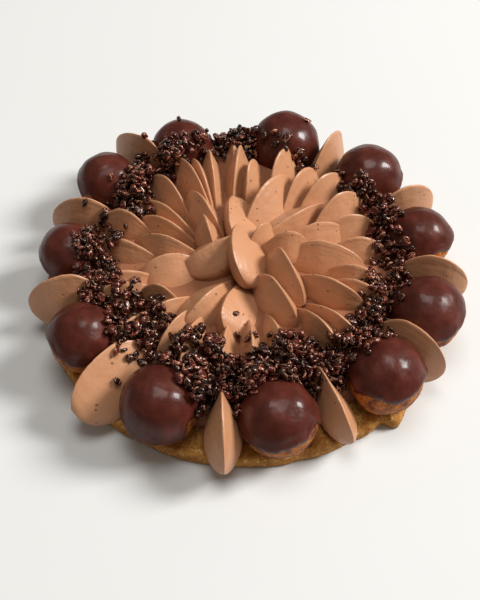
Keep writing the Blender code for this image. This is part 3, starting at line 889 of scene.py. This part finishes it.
def rim_angle(puff, number, azimuth):
    """How far down the glaze reaches at an azimuth round the choux, in degrees."""
    phase = 2.1 * number
    turn = math.radians(azimuth)
    wave = 3.5 * math.sin(3 * turn + phase) + 2.5 * math.sin(5 * turn + 2 * phase)
    round_the_rim = Vector((math.cos(turn), math.sin(turn), 0.7 * number))
    lobes = 9.0 * noise.noise(round_the_rim * 2.6) + 4.0 * noise.noise(round_the_rim * 7.0)
    bite = 0.0
    if puff.notch is not None:
        away = (azimuth - puff.notch + 180) % 360 - 180
        bite = NOTCH_DEPTH * math.exp(-((away / NOTCH_HALF_WIDTH) ** 4))
    return puff.rim_angle + wave + lobes - bite


def glaze_cap(puff, number, finish):
    """The glaze: a skin over the choux with a rounded, slightly thicker rim."""
    tilt = puff_tilt(puff)

    def lift(direction, share):
        """How far the glaze stands off the choux, a share of the way down to its rim."""
        spot = direction * puff.radius * MM + Vector((number, 0, 5))
        sag = 1 + SAG_GAIN * math.exp(-(((share - SAG_PLACE) / SAG_WIDTH) ** 2))
        body = GLAZE_THICKNESS * sag * math.sqrt(max(0.0, 1 - share**22))
        flow = sum(ruffle(spot, width, 2) * height for width, height in GLAZE_FLOWS)
        return GLAZE_SEAT + body + flow * (1 - share**8)

    outer_rings = []
    inner_rings = []
    for row in range(1, GLAZE_ROWS + 1):
        share = 1 - (1 - row / GLAZE_ROWS) ** 1.35
        outer_ring = []
        inner_ring = []
        for column in range(PUFF_COLUMNS):
            azimuth = 360 * column / PUFF_COLUMNS
            angle = math.radians(rim_angle(puff, number, azimuth)) * share
            direction = heading_on_ball(angle, math.radians(azimuth), tilt)
            outer_ring.append(puff_place(puff, number, direction, lift(direction, share)))
            inner_ring.append(puff_place(puff, number, direction, GLAZE_SEAT * 0.5))
        outer_rings.append(outer_ring)
        inner_rings.append(inner_ring)
    pole = tilt @ Vector((0, 0, 1))
    crown = puff_place(puff, number, pole, lift(pole, 0.0))
    lining = puff_place(puff, number, pole, GLAZE_SEAT * 0.5)
    rings = outer_rings + inner_rings[::-1]
    return surface(f"glaze_cap_{number:02d}", rings, crown, lining, finish)


def cream_core(finish):
    """The mound of cream under the petals."""
    rings = []
    for row in range(1, CORE_ROWS + 1):
        share = math.sin(math.pi / 2 * row / CORE_ROWS)
        height = DECK + CORE_HEIGHT * math.sqrt(max(0.0, 1 - share**CORE_SHOULDER))
        turns = [360 * column / CORE_COLUMNS for column in range(CORE_COLUMNS)]
        rings.append([polar(azimuth, CORE_RADIUS * share, height) for azimuth in turns])
    ends = [Vector((0, 0, level)) for level in (DECK + CORE_HEIGHT, DECK)]
    return surface("cream_core", rings, *ends, finish)


class Terrain:
    """Heights of the cake's upper side on a square grid, on which nibs come to rest."""

    def __init__(self, things, reach, pitch):
        self.reach = reach
        self.pitch = pitch
        self.count = int(2 * reach / pitch) + 1
        self.heights = np.zeros((self.count, self.count))
        skin = tree_of(things)
        down = Vector((0, 0, -1))
        for row in range(self.count):
            x = row * pitch - reach
            for column in range(self.count):
                hit = skin.ray_cast(Vector((x, column * pitch - reach, 0.1)), down)[0]
                if hit is not None:
                    self.heights[row, column] = hit.z
        self.steps = [(math.cos(a), math.sin(a)) for a in np.linspace(0, math.tau, 9)[:-1]]

    def cell(self, x, y):
        """Row and column of a place."""
        row = min(self.count - 1, max(0, round((x + self.reach) / self.pitch)))
        column = min(self.count - 1, max(0, round((y + self.reach) / self.pitch)))
        return row, column

    def height(self, x, y):
        return self.heights[self.cell(x, y)]

    def settle(self, x, y, stride, steepest, most):
        """Roll downhill by at most so many strides, until the ground is no steeper than a slope."""
        for _ in range(most):
            around = [(x + across * stride, y + ahead * stride) for across, ahead in self.steps]
            lowest = min(around, key=lambda place: self.height(*place))
            if self.height(x, y) - self.height(*lowest) < steepest * stride:
                break
            x, y = lowest
        return x, y

    def slope(self, x, y, span):
        """An upright vector tipped the way the ground leans."""
        across = (self.height(x + span, y) - self.height(x - span, y)) / (2 * span)
        ahead = (self.height(x, y + span) - self.height(x, y - span)) / (2 * span)
        return Vector((-across, -ahead, 1.0))

    def lay(self, x, y, radius, thickness):
        """Put a grain down: returns the height of its middle and raises the ground there."""
        row, column = self.cell(x, y)
        reach = int(math.ceil(radius / self.pitch))
        rows = slice(max(0, row - reach), row + reach + 1)
        columns = slice(max(0, column - reach), column + reach + 1)
        ground = self.heights[rows, columns]
        grid = np.indices(ground.shape)
        away = np.hypot(grid[0] + rows.start - row, grid[1] + columns.start - column)
        share = np.clip(away * self.pitch / radius, 0, 1)
        core = ground[share < 0.75]
        middle = 0.5 * core.mean() + 0.5 * core.max() + 0.35 * thickness
        top_side = middle + 0.5 * thickness * np.sqrt(1 - share**2)
        raised = np.where(share < 1, np.maximum(ground, top_side), ground)
        self.heights[rows, columns] = raised
        return middle


def tree_of(things):
    """A search tree over the skins of some objects."""
    places = []
    faces = []
    for thing in things:
        start = len(places)
        places += [vertex.co[:] for vertex in thing.data.vertices]
        faces += [[start + index for index in face.vertices] for face in thing.data.polygons]
    return BVHTree.FromPolygons(places, faces)


# The ring of nibs: azimuth in degrees, inner and outer reach in millimetres, how thick it lies
SPRINKLES = (
    (-180, 77, 99, 0.9),
    (-172, 77, 101, 0.9),
    (-163, 60, 101, 1.0),
    (-153, 62, 88, 1.1),
    (-143, 60, 94, 1.2),
    (-130, 62, 90, 1.0),
    (-120, 62, 90, 1.3),
    (-110, 64, 99, 1.5),
    (-100, 67, 101, 1.7),
    (-90, 68, 95, 1.7),
    (-80, 66, 93, 1.7),
    (-70, 63, 95, 1.6),
    (-60, 65, 98, 1.5),
    (-50, 73, 96, 0.9),
    (-45, 76, 106, 0.7),
    (-40, 75, 101, 0.8),
    (-30, 72, 100, 1.1),
    (-20, 74, 96, 0.9),
    (-10, 72, 101, 1.1),
    (0, 76, 97, 0.9),
    (10, 78, 96, 0.9),
    (20, 81, 99, 1.1),
    (30, 83, 100, 1.1),
    (40, 84, 92, 0.8),
    (47, 82, 88, 0.5),
    (55, 84, 90, 0.4),
    (62, 80, 98, 0.5),
    (70, 86, 96, 0.7),
    (80, 86, 96, 0.6),
    (85, 88, 100, 0.8),
    (88, 92, 113, 1.0),
    (100, 92, 113, 1.0),
    (106, 90, 100, 1.0),
    (112, 87, 95, 1.0),
    (120, 86, 96, 1.0),
    (126, 86, 100, 1.0),
    (131, 86, 100, 1.0),
    (137, 82, 95, 1.0),
    (143, 79, 93, 1.0),
    (150, 70, 93, 1.0),
    (155, 70, 98, 0.8),
    (160, 72, 100, 0.2),
    (166, 74, 92, 0.25),
    (173, 76, 99, 0.5),
    (180, 77, 99, 0.9),
)


# Piles by and between the choux: azimuth in degrees, distance and spread in millimetres, count
HEAPS = (
    (122, 93, 4.5, 24),
    (129, 101, 5.0, 32),
    (118, 89, 4.5, 20),
    (97, 108, 4.0, 16),
    (91, 107, 4.0, 14),
    (135, 92, 4.5, 22),
    (146, 86, 5.0, 35),
    (141, 81, 4.0, 20),
    (149, 72, 3.5, 15),
    (179, 92, 4.5, 20),
    (37, 89, 3.5, 14),
    (-55, 91, 3.5, 18),
    (-90, 93, 3.0, 22),
    (-104, 98, 2.5, 16),
    (-103, 105, 1.5, 8),
    (-134, 91, 3.0, 7),
)

# Lone nibs, which stay where they fall: azimuth in degrees and distance in millimetres
STRAYS = (
    (-96, 44),
    (-94, 55),
    (-88, 62),
    (-84, 60),
    (-76, 58),
    (-105, 61),
    (-113, 60),
    (-109, 55),
    (-92, 105),
    (-135, 99),
    (-130, 108),
    (160, 103),
    (162, 87),
    (165, 84),
    (164, 65),
    (169, 79),
    (171, 76),
    (112, 114),
    (119, 103),
    (113, 97),
    (73, 90),
    (72, 84),
    (66, 88),
    (69, 112),
)


def nib_spots(rng):
    """Azimuth, radius and lowest ground of each nib, and whether it may roll."""
    azimuths, *columns = zip(*SPRINKLES)
    fine = np.linspace(-180, 180, 721)
    inner, outer, weights = [np.interp(fine, azimuths, column) for column in columns]
    shares = np.cumsum(weights * (outer**2 - inner**2))
    shares /= shares[-1]
    for _ in range(NIB_COUNT):
        azimuth = float(np.interp(rng.random(), shares, fine))
        nearest = float(np.interp(azimuth, fine, inner))
        furthest = float(np.interp(azimuth, fine, outer))
        share = rng.random()
        radius = math.sqrt(nearest**2 + (furthest**2 - nearest**2) * share)
        radius += rng.gauss(0, NIB_SPREAD)
        clump = noise.noise(polar(azimuth, radius / CLUMP_SIZE))
        if rng.random() < CLUMP_SHARE + CLUMP_GAIN * clump:
            at_back = BACK_GAP[0] < azimuth < BACK_GAP[1]
            yield azimuth, radius * MM, 0.0 if at_back else NIB_LOWEST, True
    for azimuth, distance, spread, count in HEAPS:
        for _ in range(count):
            aside = math.degrees(rng.gauss(0, spread) / distance)
            yield azimuth + aside, (distance + rng.gauss(0, spread)) * MM, 0.0, True
    for azimuth, radius in STRAYS:
        yield azimuth, radius * MM, 0.0, False


def nib_tree():
    """Grains: a bent ball on each point, turned and sized by stored values, then made uneven."""
    shape = Shape("cacao nib", [], ["Curl", "Dent Size", "Dent Depth", "Seed"])
    ball = shape.node("GeometryNodeMeshUVSphere", {}, {"Segments": 6, "Rings": 5, "Radius": 1.0})
    place = shape.node("GeometryNodeInputPosition")
    along = shape.node("ShaderNodeSeparateXYZ", {}, {"Vector": place})
    bend = shape.vector(0.0, 0.0, along * along * shape.given("Curl"))
    ball = shape.node("GeometryNodeSetPosition", {}, {"Geometry": ball, "Offset": bend})
    turn = shape.attribute("turn", "FLOAT_VECTOR")
    nibs = shape.copies(ball, Rotation=turn, Scale=shape.attribute("size", "FLOAT_VECTOR"))
    texture = {"Vector": place, "Scale": 1 / shape.given("Dent Size"), "Detail": 1.0}
    texture["W"] = shape.given("Seed")
    settings = {"noise_dimensions": "4D"}
    dent = shape.node("ShaderNodeTexNoise", settings, texture) - 0.5
    normal = shape.node("GeometryNodeInputNormal")
    parts = {"Vector": normal, "Scale": dent * shape.given("Dent Depth")}
    offset = shape.node("ShaderNodeVectorMath", {"operation": "SCALE"}, parts)
    shape.close(shape.node("GeometryNodeSetPosition", {}, {"Geometry": nibs, "Offset": offset}))
    return shape


@dataclass
class Grain:
    """A nib at rest: its place, turn, half sizes, how red it is and whether it is a flake."""

    place: tuple
    turn: tuple
    size: tuple
    tone: float
    flake: bool


def rest_nibs(ground):
    """Drop the nibs: some stick where they fall, the rest roll down and pile up."""
    rng = random.Random(SEED)
    terrain = Terrain(ground, TERRAIN_REACH, TERRAIN_PITCH)
    for azimuth, radius, lowest, rolls in nib_spots(rng):
        spot = polar(azimuth, radius)
        steepest = STICKING_SLOPE if rng.random() < NIB_STICKING else ROLLING_SLOPE
        x, y = terrain.settle(spot.x, spot.y, NIB_STRIDE, steepest, MOST_STRIDES if rolls else 0)
        flake = rng.random() < FLAKE_SHARE
        length = NIB_LENGTH * rng.uniform(*NIB_SIZES) * (FLAKE_STRETCH if flake else 1.0)
        width = length * rng.uniform(*NIB_WIDTHS)
        thickness = length * rng.uniform(*(FLAKE_THICKNESSES if flake else NIB_THICKNESSES))
        wobble = Vector((rng.gauss(0, NIB_WOBBLE), rng.gauss(0, NIB_WOBBLE), 0))
        spin = rng.uniform(0, math.tau)
        tone = rng.random()
        if not lowest <= terrain.height(x, y) <= NIB_HIGHEST:
            continue
        upright = terrain.slope(x, y, NIB_STRIDE) + wobble
        z = terrain.lay(x, y, (length + width) / 4, thickness)
        turn = upright.to_track_quat("Z", "Y").to_matrix() @ Matrix.Rotation(spin, 3, "Z")
        size = (length / 2, width / 2, thickness / 2)
        yield Grain((x, y, z), tuple(turn.to_euler()), size, tone, flake)


def cacao_nibs(ground, finish):
    """The nibs: plump grains, and thinner curled flakes of them."""
    grains = list(rest_nibs(ground))
    tree = nib_tree()
    kinds = {"cacao_nibs": (False, 0.2, 2.2 * MM), "cacao_flakes": (True, 1.0, 1.0 * MM)}
    pieces = []
    for name, (flake, curl, depth) in kinds.items():
        kind = [grain for grain in grains if grain.flake == flake]
        values = {"turn": [g.turn for g in kind], "size": [g.size for g in kind]}
        values["tone"] = [g.tone for g in kind]
        points = point_mesh(name + " points", [g.place for g in kind], values)
        sizes = {"Curl": curl, "Dent_Size": 2.4 * MM, "Dent_Depth": depth, "Seed": 3.0}
        pieces.append(tree.make(name, points, Material=finish, **sizes))
    return pieces


def build_cake():
    """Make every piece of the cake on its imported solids."""
    cream = cream_finish()
    glaze = glaze_finish()
    crust = crust_finish()
    petals = petal_tree()
    sizes = {"Stations": 56, "Sides": 49, "Crest_Radius": CREST_RADIUS, "Bead": 0.08 * MM}
    sizes.update({"Waver": 0.9 * MM, "Nicks": 0.7 * MM, "Seed": 5.0, "Material": cream})

    ground = [dress(pastry_disc(disc_finish()), "baked_pastry", "base")]
    for number, puff in enumerate(PUFFS, start=1):
        ball = choux_crust(puff, number, crust)
        ground.append(dress(ball, "choux_crust", f"puff_{number:02d}"))
        cap = glaze_cap(puff, number, glaze)
        ground.append(dress(cap, "chocolate_glaze", f"glaze_{number:02d}"))
    for number, petal in enumerate(OUTER_PETALS, start=1):
        points = petal_points("outer petal point", [petal], [SEED - number])
        piece = petals.make(f"outer_petal_{number:02d}", points, **sizes)
        ground.append(dress(piece, "whipped_cream", f"petal_{number:02d}"))
    ground.append(dress(cream_core(cream), "whipped_cream", "rosette"))
    first = 1
    rings = {"low_petals": LOW_PETALS, "middle_petals": MIDDLE_PETALS, "crown_petals": CROWN_PETALS}
    for name, ring in rings.items():
        seeds = [SEED + first + index for index in range(len(ring))]
        piece = petals.make(name, petal_points(name + " points", ring, seeds), **sizes)
        ground.append(dress(piece, "whipped_cream", "rosette"))
        first += len(ring)
    for piece in cacao_nibs(ground, nib_finish()):
        dress(piece, None, "rosette")


def table_top():
    """The plain pale floor."""
    mesh = bpy.data.meshes.new("table")
    signs = ((-1, -1), (1, -1), (1, 1), (-1, 1))
    mesh.from_pydata([(x * TABLE_HALF, y * TABLE_HALF, 0) for x, y in signs], [], [(0, 1, 2, 3)])
    mesh.materials.append(floor_finish())
    floor = bpy.data.objects.new("table", mesh)
    bpy.context.scene.collection.objects.link(floor)
    floor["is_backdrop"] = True


def camera():
    """The photographer's place: in front of the cake and above it, turned a little."""
    elevation = math.radians(CAMERA_ELEVATION)
    roll = math.radians(CAMERA_ROLL)
    back = Vector((0, -math.cos(elevation), math.sin(elevation)))
    level = Vector((1, 0, 0))
    up = back.cross(level)
    right = level * math.cos(roll) + up * math.sin(roll)
    above = up * math.cos(roll) - level * math.sin(roll)
    lens = bpy.data.cameras.new("camera")
    lens.lens = CAMERA_LENS
    lens.sensor_width = CAMERA_SENSOR
    viewer = bpy.data.objects.new("camera", lens)
    bpy.context.scene.collection.objects.link(viewer)
    turn = Matrix((right, above, back)).transposed().to_4x4()
    place = Vector(CAMERA_TARGET) + back * CAMERA_DISTANCE
    viewer.matrix_world = Matrix.Translation(place) @ turn
    bpy.context.scene.camera = viewer


def light(name, azimuth, elevation, distance, size, power, colour):
    """A square soft light that looks at the cake."""
    lamp = bpy.data.lights.new(name, "AREA")
    lamp.energy = power
    lamp.size = size
    lamp.color = colour
    thing = bpy.data.objects.new(name, lamp)
    bpy.context.scene.collection.objects.link(thing)
    height = math.sin(math.radians(elevation)) * distance
    thing.location = polar(azimuth, distance * math.cos(math.radians(elevation)), height)
    thing.rotation_euler = thing.location.to_track_quat("Z", "Y").to_euler()


def studio():
    """Soft daylight from the right and a little behind, with a pale room around and above."""
    window = {"azimuth": 10, "elevation": 40, "distance": 4.0, "size": 1.2, "power": 216.0}
    light("window", colour=(1.0, 0.98, 0.95), **window)
    ceiling = {"azimuth": 80, "elevation": 84, "distance": 2.2, "size": 1.1, "power": 21.0}
    light("ceiling", colour=(1.0, 0.99, 0.975), **ceiling)
    world = bpy.data.worlds.new("room")
    world.use_nodes = True
    room = world.node_tree.nodes["Background"]
    room.inputs["Color"].default_value = (1.0, 0.92, 0.82, 1.0)
    room.inputs["Strength"].default_value = 0.22
    bpy.context.scene.world = world
    bpy.context.scene.view_settings.view_transform = "Standard"


build_cake()
table_top()
camera()
studio()

corners = {"solids": solid_box, "visual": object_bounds()}
{name: [list(corner) for corner in box] for name, box in corners.items()}
